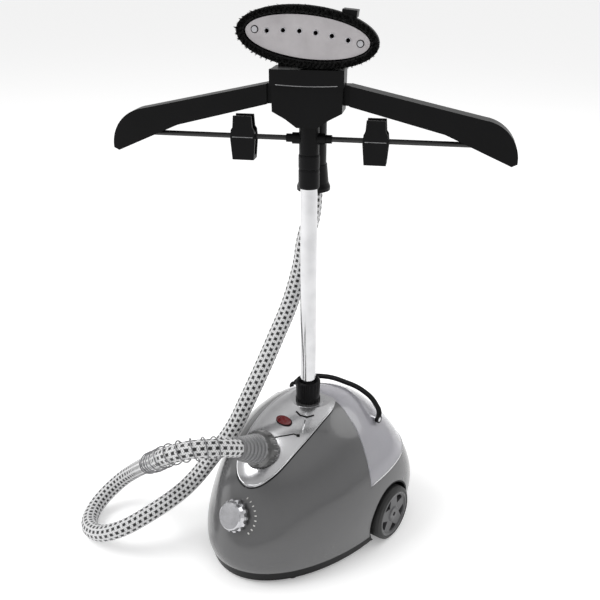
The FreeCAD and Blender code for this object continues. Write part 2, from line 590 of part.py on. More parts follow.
rear_ovals = []
for grow, depth in ((-24, -14), (-9, -9), (-2, 0), (-1.2, 13)):
    rear_ovals.append(Part.Wire(oval_face(head_l + grow, head_h + grow, depth).OuterWire))
housing = Part.makeLoft(rear_ovals, True, False)
housing.Placement = face_on
hollow_ovals = []
for grow, depth in ((-27, -11), (-12, -6), (-5, 1), (-4.2, 13.1)):
    hollow_ovals.append(Part.Wire(oval_face(head_l + grow, head_h + grow, depth).OuterWire))
cavity = Part.makeLoft(hollow_ovals, True, False)
cavity.Placement = face_on
neck_hole = Part.makeCylinder(7, 40, Vector(0, 30, 0), Vector(0, -1, 0))
housing = housing.cut(cavity).cut(neck_hole)
node("head_housing", shaped(housing), head_turn)
plate = head_layer(-10, 13.05, 17)
holes, hole_count = [], int(size("steam_holes"))
for i in range(hole_count):
    across = (i - (hole_count - 1) / 2) * 17.5
    holes.append(Part.makeCylinder(2.3, 20, Vector(across, -10, 5.4 - across ** 2 / 520), Vector(0, -1, 0)))
screw_spots = [Vector(side * 57, 0, 0.8 - side) for side in (-1, 1)]
screw_cuts = [Part.makeCylinder(1.6, 12, spot + Vector(0, -9, 0), Vector(0, -1, 0)) for spot in screw_spots]
node("soleplate", shaped(plate.cut(holes + screw_cuts)), head_turn)
node("soleplate_screws", group(*[fuse(cylinder("screw_radius", 8, tuple(spot + Vector(0, -9, 0)), (0, -1, 0)),
                                      cylinder(3, 1.6, tuple(spot + Vector(0, -17, 0)), (0, -1, 0)))
                                 for spot in screw_spots]), head_turn)
ring = head_layer(0, 13.3, 19).cut(head_layer(-8.6, 0, 40))
bristles = head_layer(0, 19, 24).cut(head_layer(-6, 0, 40))
node("bristle_frame", shaped(ring.fuse(bristles)), head_turn)
latch = Part.makeBox(16, 20, 8, Vector(34, -17, 24)).fuse(Part.makeCylinder(1.8, 16, Vector(34, 3, 30), X))
latch = latch.cut(head_layer(0.3, -30, 40))
node("brush_latch", shaped(latch), head_turn)

depth = size("handle_depth")
HANDLE_ROUTE = [(0, 17, 634), (0, 31, 616), (0, depth, 560), (0, depth, 486)]
handle_outer = tube(HANDLE_ROUTE, 15)
handle_bore = tube(HANDLE_ROUTE, 11)
front_half = Part.makeBox(60, 40, 200, Vector(-30, depth - 40.05, 470))
back_half = Part.makeBox(60, 60, 200, Vector(-30, depth + 0.05, 470))
handle = handle_outer.cut(handle_bore)
handle = handle.cut(Part.makeBox(200, 40, 90, Vector(-100, -22, 594)))
node("handle_front", shaped(handle.common(front_half)), turn)
node("handle_back", shaped(handle.common(back_half)), turn)
node("steam_tube", shaped(tube([(0, 28, 619)] + HANDLE_ROUTE[2:3] + [(0, depth, 478)], 5, 3.5)), turn)
cuff = turned([(8, 0), (20, 0), (20, 4), (18, 9), (16, 30), (16, 31), (8, 31)])
node("hose_cuff", cuff, turn.multiply(Placement(Vector(0, depth, 455), Rotation())))

# ---------------------------------------------------------------- water tank
tank = full_dome.common(zone_tank)
water = inner_dome.common(tank_space(-wall))
tank = tank.cut([water, Part.makeCylinder(12.05, 20, Vector(0, 92, 92))])
pin_y, pin_z = 75, 150
pin_cut = Part.makeCylinder(3, 160, Vector(-80, pin_y, pin_z), X)
node("water_tank", shaped(tank.cut(pin_cut)))
CAP_Z = 94.3
cap = turned([(3.05, 0), (12, 0), (12, 16), (3.5, 16), (3.5, 14), (10, 14), (10, 3), (3.05, 3)])
node("tank_cap", cap, Placement(Vector(0, 92, CAP_Z), Rotation()))
plunger = turned([(0, 0), (3, 0), (3, 4.4), (6, 4.4), (6, 6.4), (0, 6.4)])
node("valve_plunger", plunger, Placement(Vector(0, 92, CAP_Z - 1.3), Rotation()))
coils = Part.makeHelix(2.2, 7, 4.6)
wire_section = Part.Wire(Part.Circle(Vector(4.6, 0, 0), Y, 0.5).toShape())
spring = Part.Wire(coils).makePipeShell([wire_section], True, True)
node("valve_spring", shaped(spring), Placement(Vector(0, 92, CAP_Z + 6), Rotation()))
pins = [cylinder(3, 18.3, (side * 56, pin_y, pin_z), (side, 0, 0)) for side in (1, -1)]
node("handle_pins", group(*pins))
GRIP_HALF = [(72, pin_y, pin_z), (68.5, 83, 157.5), (49, 94, 165.5), (22, 99.5, 170)]
grip_route = GRIP_HALF + [(-x, y, z) for x, y, z in reversed(GRIP_HALF)]
eyes = [Part.makeCylinder(5, 4.5, Vector(x, pin_y, pin_z), X) for x in (69.8, -74.3)]
bail = tube(grip_route, 3.4).fuse(eyes)
node("tank_handle", shaped(bail.cut(Part.makeCylinder(3.05, 200, Vector(-100, pin_y, pin_z), X))))

# ---------------------------------------------------------------- check and export
doc.recompute()
for obj in doc.Objects:
    if any(word in obj.State for word in ("Invalid", "Error")):
        raise RuntimeError(f"{obj.Label} failed: {obj.State}")
os.makedirs("parts", exist_ok=True)
for label, obj in nodes.items():
    shape = obj.Shape
    if shape.isNull() or not shape.isValid() or shape.Volume <= 0:
        raise RuntimeError(f"{label} has no valid shape")
    shape.exportStep(f"parts/{label}.step")
print(len(nodes), "nodes")
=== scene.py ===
import json
import math
import random

import bmesh
import bpy
from mathutils import Matrix, Vector
from mathutils.bvhtree import BVHTree


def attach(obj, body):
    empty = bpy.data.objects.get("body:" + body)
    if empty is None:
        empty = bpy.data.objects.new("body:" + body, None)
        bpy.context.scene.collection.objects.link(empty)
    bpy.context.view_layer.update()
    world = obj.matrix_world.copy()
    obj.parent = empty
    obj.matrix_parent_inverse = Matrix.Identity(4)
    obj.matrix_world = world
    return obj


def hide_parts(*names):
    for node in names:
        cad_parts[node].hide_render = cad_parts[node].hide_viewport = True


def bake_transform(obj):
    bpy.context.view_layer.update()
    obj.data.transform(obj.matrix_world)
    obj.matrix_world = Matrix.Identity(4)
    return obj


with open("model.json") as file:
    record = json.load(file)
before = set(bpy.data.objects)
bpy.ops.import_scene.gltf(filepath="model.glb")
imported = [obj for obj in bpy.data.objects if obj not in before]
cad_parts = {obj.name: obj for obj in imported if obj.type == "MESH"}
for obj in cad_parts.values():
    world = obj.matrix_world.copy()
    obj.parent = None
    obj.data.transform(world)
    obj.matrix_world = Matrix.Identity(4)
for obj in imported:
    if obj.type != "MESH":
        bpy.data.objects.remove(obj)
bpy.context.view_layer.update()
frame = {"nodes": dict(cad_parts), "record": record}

rand = random.Random(7)
nodes = frame["nodes"]
TAU = 2 * math.pi

# ---------------------------------------------------------------- the frame's own places, in metres
POLE_Y = 0.016
YAW, ROLL = math.radians(27.7), math.radians(5.4)
HANGER = Matrix.Translation((0, POLE_Y, 0)) @ Matrix.Rotation(YAW, 4, "Z")
HEAD = HANGER @ Matrix.Translation((0, 0, 0.634)) @ Matrix.Rotation(ROLL, 4, "Y")
DIAL_AXIS = Vector((0, -0.9, 0.44)).normalized()
DIAL_FOOT = Vector((0, -0.127, 0.085))
HOSE_R = 0.011
BRAID_ROWS, BRAID_CELL = 10, 0.0074
DOWN = Vector((0, 0, -1))


# ---------------------------------------------------------------- camera and light
camera = bpy.data.objects.new("camera", bpy.data.cameras.new("camera"))
bpy.context.scene.collection.objects.link(camera)
camera.data.lens, camera.data.sensor_width = 48, 36
camera.location = (0.5459, -0.6996, 0.7239)
camera.rotation_euler = (math.radians(66), 0, math.radians(38))
bpy.context.scene.camera = camera
bpy.context.scene.view_settings.view_transform = "Standard"


def area_light(name, place, target, size, watts):
    lamp = bpy.data.lights.new(name, "AREA")
    lamp.shape, lamp.size, lamp.energy = "DISK", size, watts
    light = bpy.data.objects.new(name, lamp)
    bpy.context.scene.collection.objects.link(light)
    light.location = place
    light.rotation_euler = (Vector(target) - Vector(place)).to_track_quat("-Z", "Y").to_euler()


area_light("key", (-1.5, -1.3, 2.3), (0, 0, 0.2), 2.2, 46)
area_light("rim", (0.9, 1.9, 1.9), (0, 0, 0.3), 2.0, 16)

world = bpy.data.worlds.new("studio")
bpy.context.scene.world = world
world.use_nodes = True
sky = world.node_tree
coords = sky.nodes.new("ShaderNodeTexCoord")
split = sky.nodes.new("ShaderNodeSeparateXYZ")
ramp = sky.nodes.new("ShaderNodeValToRGB")
sky.links.new(coords.outputs["Generated"], split.inputs[0])
sky.links.new(split.outputs["Z"], ramp.inputs[0])
sky.links.new(ramp.outputs[0], sky.nodes["Background"].inputs["Color"])
sky.nodes["Background"].inputs["Strength"].default_value = 0.78
for place, level in ((0.0, 0.5), (0.1, 0.3), (0.24, 0.95), (0.5, 0.6), (0.75, 1.0), (1.0, 1.1)):
    spot = ramp.color_ramp.elements.new(place) if place not in (0.0, 1.0) else \
        ramp.color_ramp.elements[int(place)]
    spot.color = (level, level, level, 1)


# ---------------------------------------------------------------- materials
def link(tree, out, into):
    tree.links.new(out, into)


def add(tree, kind, **sockets):
    made = tree.nodes.new("ShaderNode" + kind)
    for name, value in sockets.items():
        made.inputs[name.replace("_", " ")].default_value = value
    return made


def maths(tree, operation, a, b=None):
    made = tree.nodes.new("ShaderNodeMath")
    made.operation = operation
    for socket, value in zip(made.inputs, (a, b)):
        if value is None:
            continue
        if isinstance(value, (int, float)):
            socket.default_value = value
        else:
            link(tree, value, socket)
    return made.outputs[0]


def noise_of(tree, vector, scale, detail=4.0, rough=0.55, stretch=None):
    if stretch:
        mapping = add(tree, "Mapping")
        mapping.inputs["Scale"].default_value = stretch
        link(tree, vector, mapping.inputs["Vector"])
        vector = mapping.outputs[0]
    made = add(tree, "TexNoise", Scale=scale, Detail=detail, Roughness=rough)
    link(tree, vector, made.inputs["Vector"])
    return made.outputs["Fac"]


def spread(tree, value, low, high, from_low=0.3, from_high=0.7):
    made = add(tree, "MapRange", From_Min=from_low, From_Max=from_high, To_Min=low, To_Max=high)
    link(tree, value, made.inputs["Value"])
    return made.outputs[0]


def mixed(tree, fac, a, b):
    made = tree.nodes.new("ShaderNodeMix")
    made.data_type = "RGBA"
    link(tree, fac, made.inputs["Factor"])
    for socket, value in ((made.inputs["A"], a), (made.inputs["B"], b)):
        if isinstance(value, tuple):
            socket.default_value = (*value, 1)
        else:
            link(tree, value, socket)
    return made.outputs["Result"]


def bumped(tree, height, strength, distance, normal=None):
    made = add(tree, "Bump", Strength=strength, Distance=distance)
    link(tree, height, made.inputs["Height"])
    if normal is not None:
        link(tree, normal, made.inputs["Normal"])
    return made.outputs[0]


def surface(name, colour, dark, rough, metallic=0.0, patch=30, grain=1400, relief=0.05, stretch=None,
            worn=None, **sockets):
    """A moulded, cast or plated finish: cloudy colour, uneven gloss, a fine grain and rubbed edges."""
    material = bpy.data.materials.new(name)
    material.use_nodes = True
    tree = material.node_tree
    shader = tree.nodes["Principled BSDF"]
    shader.inputs["Metallic"].default_value = metallic
    for socket, value in sockets.items():
        shader.inputs[socket.replace("_", " ")].default_value = value
    where = add(tree, "TexCoord").outputs["Object"]
    clouds = noise_of(tree, where, patch)
    fine = noise_of(tree, where, grain, 2.0, 0.5, stretch)
    shade = mixed(tree, spread(tree, clouds, 0, 1), dark, colour)
    if worn:
        geometry = add(tree, "NewGeometry")
        edge = spread(tree, geometry.outputs["Pointiness"], 0, 1, 0.54, 0.6)
        edge = maths(tree, "MULTIPLY", edge, spread(tree, noise_of(tree, where, 220), 0, 1, 0.4, 0.65))
        shade = mixed(tree, edge, shade, worn)
    link(tree, shade, shader.inputs["Base Color"])
    both = maths(tree, "ADD", maths(tree, "MULTIPLY", clouds, 0.6), maths(tree, "MULTIPLY", fine, 0.4))
    link(tree, spread(tree, both, rough[0], rough[1]), shader.inputs["Roughness"])
    link(tree, bumped(tree, fine, relief, 0.0004), shader.inputs["Normal"])
    return material


def braid_material():
    """White yarn with painted shade in the hollows between its crossing strands, and a dark fleck in every
    second cell of the braid, laid in staggered rows.
    """
    material = bpy.data.materials.new("braided_hose")
    material.use_nodes = True
    tree = material.node_tree
    shader = tree.nodes["Principled BSDF"]
    where = add(tree, "UVMap")
    where.uv_map = "UVMap"
    cut = add(tree, "SeparateXYZ")
    link(tree, where.outputs[0], cut.inputs[0])
    turn = maths(tree, "MULTIPLY", cut.outputs["X"], BRAID_ROWS)
    run = maths(tree, "MULTIPLY", cut.outputs["Y"], 1 / BRAID_CELL)
    stagger = maths(tree, "MULTIPLY", maths(tree, "MODULO", maths(tree, "FLOOR", turn), 2), 0.5)
    across = maths(tree, "ABSOLUTE", maths(tree, "SUBTRACT", maths(tree, "FRACT", turn), 0.5))
    along = maths(tree, "ABSOLUTE", maths(tree, "SUBTRACT",
                                          maths(tree, "FRACT", maths(tree, "ADD", run, stagger)), 0.5))
    ragged = spread(tree, noise_of(tree, add(tree, "TexCoord").outputs["Object"], 900, 2), -0.05, 0.05)
    inside = maths(tree, "MULTIPLY",
                   spread(tree, maths(tree, "ADD", across, ragged), 1, 0, 0.26, 0.32),
                   spread(tree, maths(tree, "ADD", along, ragged), 1, 0, 0.25, 0.3))
    strand_a = maths(tree, "SINE", maths(tree, "MULTIPLY",
                                         maths(tree, "ADD", maths(tree, "MULTIPLY", turn, 0.5), run), TAU * 3))
    strand_b = maths(tree, "SINE", maths(tree, "MULTIPLY",
                                         maths(tree, "SUBTRACT", maths(tree, "MULTIPLY", turn, 0.5), run),
                                         TAU * 3))
    yarn = maths(tree, "MAXIMUM", strand_a, strand_b)
    # Painted shade: the yarn colour darkens in the hollows between the crossing strands.
    yarn_tone_with_painted_shade = mixed(tree, spread(tree, yarn, 0, 1, -0.6, 0.9), (0.38, 0.38, 0.385), (0.72, 0.72, 0.725))
    link(tree, mixed(tree, inside, yarn_tone_with_painted_shade, (0.009, 0.009, 0.01)), shader.inputs["Base Color"])
    link(tree, spread(tree, yarn, 0.75, 0.5, -1, 1), shader.inputs["Roughness"])
    shader.inputs["Sheen Weight"].default_value = 0.15
    link(tree, bumped(tree, yarn, 0.5, 0.0003), shader.inputs["Normal"])
    return material


MATERIALS = {
    "black_plastic": surface("black_plastic", (0.006, 0.006, 0.0065), (0.004, 0.004, 0.0045), (0.34, 0.46),
                             relief=0.1, Specular_IOR_Level=0.1),
    "rubber": surface("rubber", (0.007, 0.007, 0.007), (0.0045, 0.0045, 0.0045), (0.6, 0.75), relief=0.3,
                      Specular_IOR_Level=0.25),
    "grey_gloss": surface("grey_gloss", (0.088, 0.088, 0.09), (0.08, 0.08, 0.082), (0.2, 0.28),
                          patch=14, relief=0.015, Coat_Weight=0.5, Coat_Roughness=0.08),
    "chrome_panel": surface("chrome_panel", (0.62, 0.62, 0.63), (0.5, 0.5, 0.51), (0.14, 0.24), 0.92,
                            patch=22, relief=0.02),
    "cast_aluminium": surface("cast_aluminium", (0.5, 0.5, 0.5), (0.34, 0.34, 0.34), (0.4, 0.6), 1.0,
                              patch=60, relief=0.4),
    "steel": surface("steel", (0.55, 0.55, 0.57), (0.42, 0.42, 0.44), (0.22, 0.34), 1.0, relief=0.1),
    "silicone": surface("silicone", (0.6, 0.6, 0.58), (0.5, 0.5, 0.48), (0.35, 0.45), relief=0.05),
    "brass_fitting": surface("brass_fitting", (0.6, 0.45, 0.2), (0.45, 0.33, 0.15), (0.25, 0.4), 1.0),
    "white_plastic": surface("white_plastic", (0.7, 0.7, 0.67), (0.6, 0.6, 0.57), (0.35, 0.5)),
    "grey_rubber": surface("grey_rubber", (0.22, 0.22, 0.225), (0.15, 0.15, 0.155), (0.28, 0.42),
                           relief=0.06, worn=(0.4, 0.4, 0.41)),
    "spiral_wire": surface("spiral_wire", (0.3, 0.3, 0.31), (0.16, 0.16, 0.165), (0.25, 0.4), 0.6),
    "pole_metal": surface("pole_metal", (0.66, 0.66, 0.67), (0.55, 0.55, 0.56), (0.1, 0.2), 1.0,
                          patch=40, grain=900, relief=0.03, stretch=(1, 1, 0.02)),
    "tyre": surface("tyre", (0.014, 0.014, 0.014), (0.008, 0.008, 0.008), (0.4, 0.6), relief=0.15),
    "hub_grey": surface("hub_grey", (0.085, 0.085, 0.088), (0.065, 0.065, 0.068), (0.3, 0.42),
                        relief=0.08, worn=(0.16, 0.16, 0.165)),
    "chrome_knob": surface("chrome_knob", (0.66, 0.66, 0.68), (0.5, 0.5, 0.52), (0.1, 0.2), 0.95,
                           relief=0.02),
    "nut_grey": surface("nut_grey", (0.2, 0.2, 0.2), (0.08, 0.08, 0.08), (0.18, 0.32), 0.6,
                        relief=0.05, worn=(0.6, 0.6, 0.6)),
    "hanger_black": surface("hanger_black", (0.0045, 0.0045, 0.0048), (0.0035, 0.0035, 0.0037), (0.3, 0.36),
                            patch=18, relief=0.06, Specular_IOR_Level=0.1),
    "rod_black": surface("rod_black", (0.008, 0.008, 0.008), (0.005, 0.005, 0.005), (0.2, 0.35)),
    "clip_black": surface("clip_black", (0.005, 0.005, 0.0053), (0.0035, 0.0035, 0.0038), (0.32, 0.42),
                          relief=0.08, Specular_IOR_Level=0.1),
    "handle_black": surface("handle_black", (0.005, 0.005, 0.0053), (0.0035, 0.0035, 0.0038), (0.26, 0.36),
                            relief=0.06, Specular_IOR_Level=0.1),
    "soleplate": surface("soleplate", (0.52, 0.5, 0.51), (0.42, 0.4, 0.41), (0.3, 0.46), 0.85,
                         patch=45, grain=2600, relief=0.25),
    "bristles": surface("bristles", (0.005, 0.005, 0.005), (0.002, 0.002, 0.002), (0.4, 0.55),
                        Specular_IOR_Level=0.15),
    "red_lens": surface("red_lens", (0.13, 0.003, 0.005), (0.08, 0.002, 0.003), (0.1, 0.18), patch=90,
                        relief=0.02, Coat_Weight=1.0),
    "tank_clear": surface("tank_clear", (0.66, 0.66, 0.69), (0.58, 0.57, 0.62), (0.14, 0.24), patch=9,
                          relief=0.015, Transmission_Weight=0.55, Coat_Weight=0.4),
    "braided_hose": braid_material(),
}
for part in frame["record"]["subparts"]:
    shown = nodes[part["node"]]
    shown.data.materials.clear()
    shown.data.materials.append(MATERIALS[part["material_slot"]])


# ---------------------------------------------------------------- building pieces
def piece(name, mesh, slot, body=None, replaces=(), place=None, smooth=True):
    """A finished mesh as a named piece with its slot's material, riding on body."""
    made = bpy.data.objects.new(name, mesh)
    bpy.context.scene.collection.objects.link(made)
    if place is not None:
        made.matrix_world = place
    mesh.materials.append(MATERIALS[slot])
    if smooth:
        mesh.shade_smooth()
    if body:
        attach(made, body)
    if replaces:
        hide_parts(*replaces)
    return made


def route_line(name, points, step=0.0008):
    """Points read from the smooth spline through a route's control points."""
    curve = bpy.data.curves.new(name, "CURVE")
    curve.dimensions, curve.resolution_u = "3D", 40
    spline = curve.splines.new("NURBS")
    spline.points.add(len(points) - 1)
    for control, place in zip(spline.points, points):
        control.co = (*place, 1)
    spline.order_u = 3
    spline.use_endpoint_u = True
    guide = bpy.data.objects.new(name, curve)
    line = bpy.data.meshes.new_from_object(guide)
    dense = [v.co.copy() for v in line.vertices]
    bpy.data.objects.remove(guide)
    out, travelled, due = [dense[0]], 0.0, step
    for a, b in zip(dense, dense[1:]):
        run = (b - a).length
        while travelled + run >= due:
            out.append(a.lerp(b, (due - travelled) / run))
            due += step
        travelled += run
    if (out[-1] - dense[-1]).length > step / 4:
        out.append(dense[-1])
    return out


def frames_along(line):
    """(point, tangent, side, up) carried along a line without twisting."""
    out, side = [], None
    for i, here in enumerate(line):
        tangent = (line[min(i + 1, len(line) - 1)] - line[max(i - 1, 0)]).normalized()
        if side is None:
            side = tangent.cross(Vector((0, 0, 1)))
            side = side if side.length > 0.01 else Vector((1, 0, 0))
        side = (side - tangent * side.dot(tangent)).normalized()
        out.append((here, tangent, side, tangent.cross(side)))
    return out


def reach_along(line):
    """The distance run from a line's start to each of its points."""
    out = [0.0]
    for a, b in zip(line, line[1:]):
        out.append(out[-1] + (b - a).length)
    return out


def mesh_of(made, name):
    """The finished mesh of a bmesh, with its faces turned outward."""
    bmesh.ops.recalc_face_normals(made, faces=made.faces)
    mesh = bpy.data.meshes.new(name)
    made.to_mesh(mesh)
    made.free()
    return mesh


def swept(name, frames, around, radius, lengthwise, caps=True):
    """A tube along frames; radius(i, turn) gives its size, and its UV holds the turn and the length."""
    made = bmesh.new()
    uv = made.loops.layers.uv.new("UVMap")
    rings = []
    for i, (here, _, side, up) in enumerate(frames):
        rings.append([made.verts.new(here + (side * math.cos(TAU * j / around) +
                                             up * math.sin(TAU * j / around)) * radius(i, j / around))
                      for j in range(around)])
    for i, (ring, following) in enumerate(zip(rings, rings[1:])):
        for j in range(around):
            k = (j + 1) % around
            face = made.faces.new((ring[j], ring[k], following[k], following[j]))
            for loop, at in zip(face.loops, ((j, i), (j + 1, i), (j + 1, i + 1), (j, i + 1))):
                loop[uv].uv = (at[0] / around, lengthwise[at[1]])
    if caps:
        made.faces.new(list(reversed(rings[0])))
        made.faces.new(rings[-1])
    return mesh_of(made, name)


def round_wire(name, points, radius, around=8, caps=True):
    """A wire of one radius through points."""
    frames = frames_along(points)
    return swept(name, frames, around, lambda i, turn: radius, [0.001 * i for i in range(len(frames))], caps)


# ---------------------------------------------------------------- the braided hose
HOSE_ROUTE = [
    (-0.0153, 0.0452, 0.455), (-0.0153, 0.0452, 0.425), (-0.024, 0.0395, 0.392), (-0.027, 0.037, 0.359),
    (-0.031, 0.029, 0.328), (-0.034, 0.0165, 0.299), (-0.037, -0.001, 0.272), (-0.0385, -0.02, 0.245),
    (-0.0405, -0.039, 0.219), (-0.045, -0.0555, 0.192), (-0.052, -0.068, 0.164), (-0.064, -0.0785, 0.139),
    (-0.077, -0.0895, 0.115), (-0.088, -0.103, 0.092), (-0.098, -0.121, 0.074), (-0.109, -0.143, 0.061),
    (-0.121, -0.169, 0.05), (-0.138, -0.194, 0.037), (-0.167, -0.209, 0.022), (-0.206, -0.201, 0.0115),
    (-0.232, -0.164, 0.0125), (-0.222, -0.125, 0.0365), (-0.186, -0.12, 0.068), (-0.151, -0.139, 0.098),
    (-0.116, -0.154, 0.128), (-0.084, -0.174, 0.154), (-0.055, -0.185, 0.18), (-0.026, -0.175, 0.196),
    (-0.0065, -0.154, 0.195), (0, -0.1353, 0.1875), (0, -0.1214, 0.1795),
]
HOSE_SIDES = 64
hose_line = route_line("hose_line", HOSE_ROUTE, step=0.0011)
hose_frames = frames_along(hose_line)
hose_reach = reach_along(hose_line)


def braid_radius(i, turn):
    """The braid's relief: yarns crossing over and under each other."""
    weave = math.cos(TAU * turn * BRAID_ROWS) * math.cos(TAU * hose_reach[i] / BRAID_CELL)
    return HOSE_R - 0.0003 + 0.00028 * weave


# The hose is one braid in five runs that meet end to end; only the last rides on a body. Lengths are measured
# down from the cuff.
HOSE_RUNS = [("handset", 0.0, 0.14, "hanger", "handset"), ("hanger", 0.14, 0.28, "inner_pole", "hanger"),
             ("upper", 0.28, 0.46, "middle_pole", "inner_pole"), ("lower", 0.46, 0.72, "root", "middle_pole"),
             ("base", 0.72, hose_reach[-1], "root", None)]
SPIRAL_FROM, SPIRAL_TO = 0.025, 0.2     # how far the wire spiral lies from the hose's end at the base


def run_between(low, high):
    """The numbers of the hose's points from low to high, with one more so that the runs meet."""
    inside = [i for i, reach in enumerate(hose_reach) if low <= reach <= high]
    return inside if inside[0] == 0 else [inside[0] - 1] + inside


def helix(name, centre_frames, reach, radius, wire, pitch, stretch, closed=0.003, per_turn=26):
    """A wire wound round the hose. Its pitch grows by stretch away from the base, where it starts closed."""
    path, turn = [], 0.0
    for i, (here, _, side, up) in enumerate(centre_frames):
        left = reach[i] - reach[0]
        step = reach[min(i + 1, len(reach) - 1)] - reach[i]
        opened = pitch * (1 + stretch * (1 - left / (reach[-1] - reach[0])))
        turn += step / (opened if left > closed else closed)
        path.append((here, side, up, turn))
    points = []
    for (a, side_a, up_a, turn_a), (b, side_b, up_b, turn_b) in zip(path, path[1:]):
        steps = max(2, int((turn_b - turn_a) * per_turn))
        for k in range(steps):
            t = k / steps
            angle = TAU * (turn_a + (turn_b - turn_a) * t)
            points.append(a.lerp(b, t) + side_a.lerp(side_b, t) * math.cos(angle) * radius +
                          up_a.lerp(up_b, t) * math.sin(angle) * radius)
    return round_wire(name, points, wire)


for title, low, high, lower_body, upper_body in HOSE_RUNS:
    inside = run_between(low, high)
    mesh = swept("steam_hose_" + title, [hose_frames[i] for i in inside], HOSE_SIDES,
                 lambda i, turn: braid_radius(inside[i], turn), [hose_reach[i] for i in inside])
    run = piece("steam_hose_" + title, mesh, "braided_hose")
    if upper_body:
        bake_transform(run)
    else:
        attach(run, "root")
        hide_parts("steam_hose")
        wound = [i for i in inside if SPIRAL_FROM < hose_reach[-1] - hose_reach[i] < SPIRAL_TO]
        wire = helix("support_spiral_wire", [hose_frames[i] for i in wound], [hose_reach[i] for i in wound],
                     radius=0.0131, wire=0.0008, pitch=0.011, stretch=1.3)
        spiral = piece("support_spiral_wire", wire, "spiral_wire", "root", ("support_spiral",))

# ---------------------------------------------------------------- bristles round the steam head
HEAD_HALF = (0.077, 0.032)
FRAME_BAND = [(-0.0084, 0.0134), (-0.0084, 0.0186), (-0.0072, 0.0194), (-0.001, 0.0194), (0.0, 0.0184),
              (0.0, 0.0138), (-0.0008, 0.0134)]     # (outward from the head's oval, forward) round the band
TUFT_ROWS = (-0.0072, -0.0052, -0.0032, -0.0013)
TUFTS, HAIRS = 64, 11
TUFT_DEPTH = 0.0188
HAIR_FOOT, HAIR_TIP = 0.00034, 0.00016


def oval_point(angle, grow, depth):
    """A point on the head's oval, grown outward and brought forward."""
    return Vector(((HEAD_HALF[0] + grow) * math.cos(angle), -depth, (HEAD_HALF[1] + grow) * math.sin(angle)))


def oval_angles(count):
    """Angles evenly spaced along the head's oval."""
    fine = [TAU * k / 1440 for k in range(1441)]
    reach = reach_along([oval_point(angle, 0, 0) for angle in fine])
    out, at = [], 0
    for k in range(count):
        while reach[at + 1] < reach[-1] * k / count:
            at += 1
        out.append(fine[at])
    return out


def hair(made, foot, tip):
    """One bristle: a thin four-sided spike."""
    across, up = Vector((1, 0, 0)), Vector((0, 0, 1))
    low, high = [[made.verts.new(centre + (across * math.cos(TAU * q / 4) + up * math.sin(TAU * q / 4)) * radius)
                  for q in range(4)] for centre, radius in ((foot, HAIR_FOOT), (tip, HAIR_TIP))]
    for q in range(4):
        made.faces.new((low[q], low[(q + 1) % 4], high[(q + 1) % 4], high[q]))
    made.faces.new(high)
    made.faces.new(list(reversed(low)))


def bristle_mesh():
    """The rounded oval band and the four rows of tufts that stand in it."""
    made = bmesh.new()
    rings = [[made.verts.new(oval_point(angle, grow, depth)) for grow, depth in FRAME_BAND]
             for angle in oval_angles(160)]
    for ring, following in zip(rings, rings[1:] + rings[:1]):
        for j in range(len(FRAME_BAND)):
            k = (j + 1) % len(FRAME_BAND)
            made.faces.new((ring[j], following[j], following[k], ring[k]))
    for row, grow in enumerate(TUFT_ROWS):
        for angle in oval_angles(TUFTS):
            angle += rand.uniform(-0.012, 0.012) + row * 0.045
            root = oval_point(angle, grow, TUFT_DEPTH)
            outward = (oval_point(angle, grow + 0.001, TUFT_DEPTH) - root).normalized()
            for _ in range(HAIRS):
                lean = outward * rand.uniform(-0.0006, 0.0016) + \
                    Vector((rand.uniform(-0.0009, 0.0009), 0, rand.uniform(-0.0009, 0.0009)))
                foot = root + Vector((rand.uniform(-0.0011, 0.0011), 0, rand.uniform(-0.0011, 0.0011)))
                hair(made, foot, foot + lean + Vector((0, -rand.uniform(0.0034, 0.0058), 0)))
    return mesh_of(made, "bristle_ring")


piece("bristle_ring", bristle_mesh(), "bristles", "brush", ("bristle_frame",), HEAD, smooth=False)

# ---------------------------------------------------------------- trim: beads, painted highlights and reflection, marks and ticks
def tree_of(name):
    """A CAD piece's faces, ready for rays."""
    made = bmesh.new()
    made.from_mesh(nodes[name].data)
    found = BVHTree.FromBMesh(made)
    made.free()
    return found


def hit(tree, start, way):
    """Where a ray from start first meets tree, or None."""
    return tree.ray_cast(start, way)[0]


def strip(name, points, radius, slot, body="root", closed=False):
    """A thin round bead through points."""
    points = [Vector(p) for p in points]
    if closed:
        points = points + points[:2]
    return piece(name, round_wire(name, points, radius, caps=not closed), slot, body)


def smoothed(points, times=2, closed=True):
    """Points evened out along their line; an open line keeps its two ends."""
    for _ in range(times):
        last = len(points) - 1
        points = [p if not closed and i in (0, last) else
                  (points[i - 1] + p * 2 + points[(i + 1) % len(points)]) / 4 for i, p in enumerate(points)]
    return points


on_panel, on_shell, on_tank, on_plate = (tree_of(name) for name in
                                         ("control_panel", "body_shell", "water_tank", "soleplate"))

PANEL_MIDDLE = Vector((0, -0.03, 0.25))
PANEL_REACH = (0.02, 0.13)      # nearest and farthest that the panel's edge can be from its middle
PANEL_END_Y = 0.026             # the tank covers the edge behind this


def panel_edge(count=220):
    """(point, outward) along the panel's edge: the outermost point in each direction, seen from above."""
    edge = []
    for k in range(count):
        angle = TAU * k / count
        way = Vector((math.sin(angle), math.cos(angle), 0))
        low, high = PANEL_REACH
        for _ in range(16):
            half = (low + high) / 2
            low, high = (half, high) if hit(on_panel, PANEL_MIDDLE + way * half, DOWN) is not None else \
                (low, half)
        spot = hit(on_panel, PANEL_MIDDLE + way * (low - 0.0002), DOWN)
        if spot is not None and spot.y < PANEL_END_Y:
            edge.append((angle, spot, way))
    edge.sort(key=lambda found: (found[0] + math.pi) % TAU)
    return [(spot, way) for _, spot, way in edge]


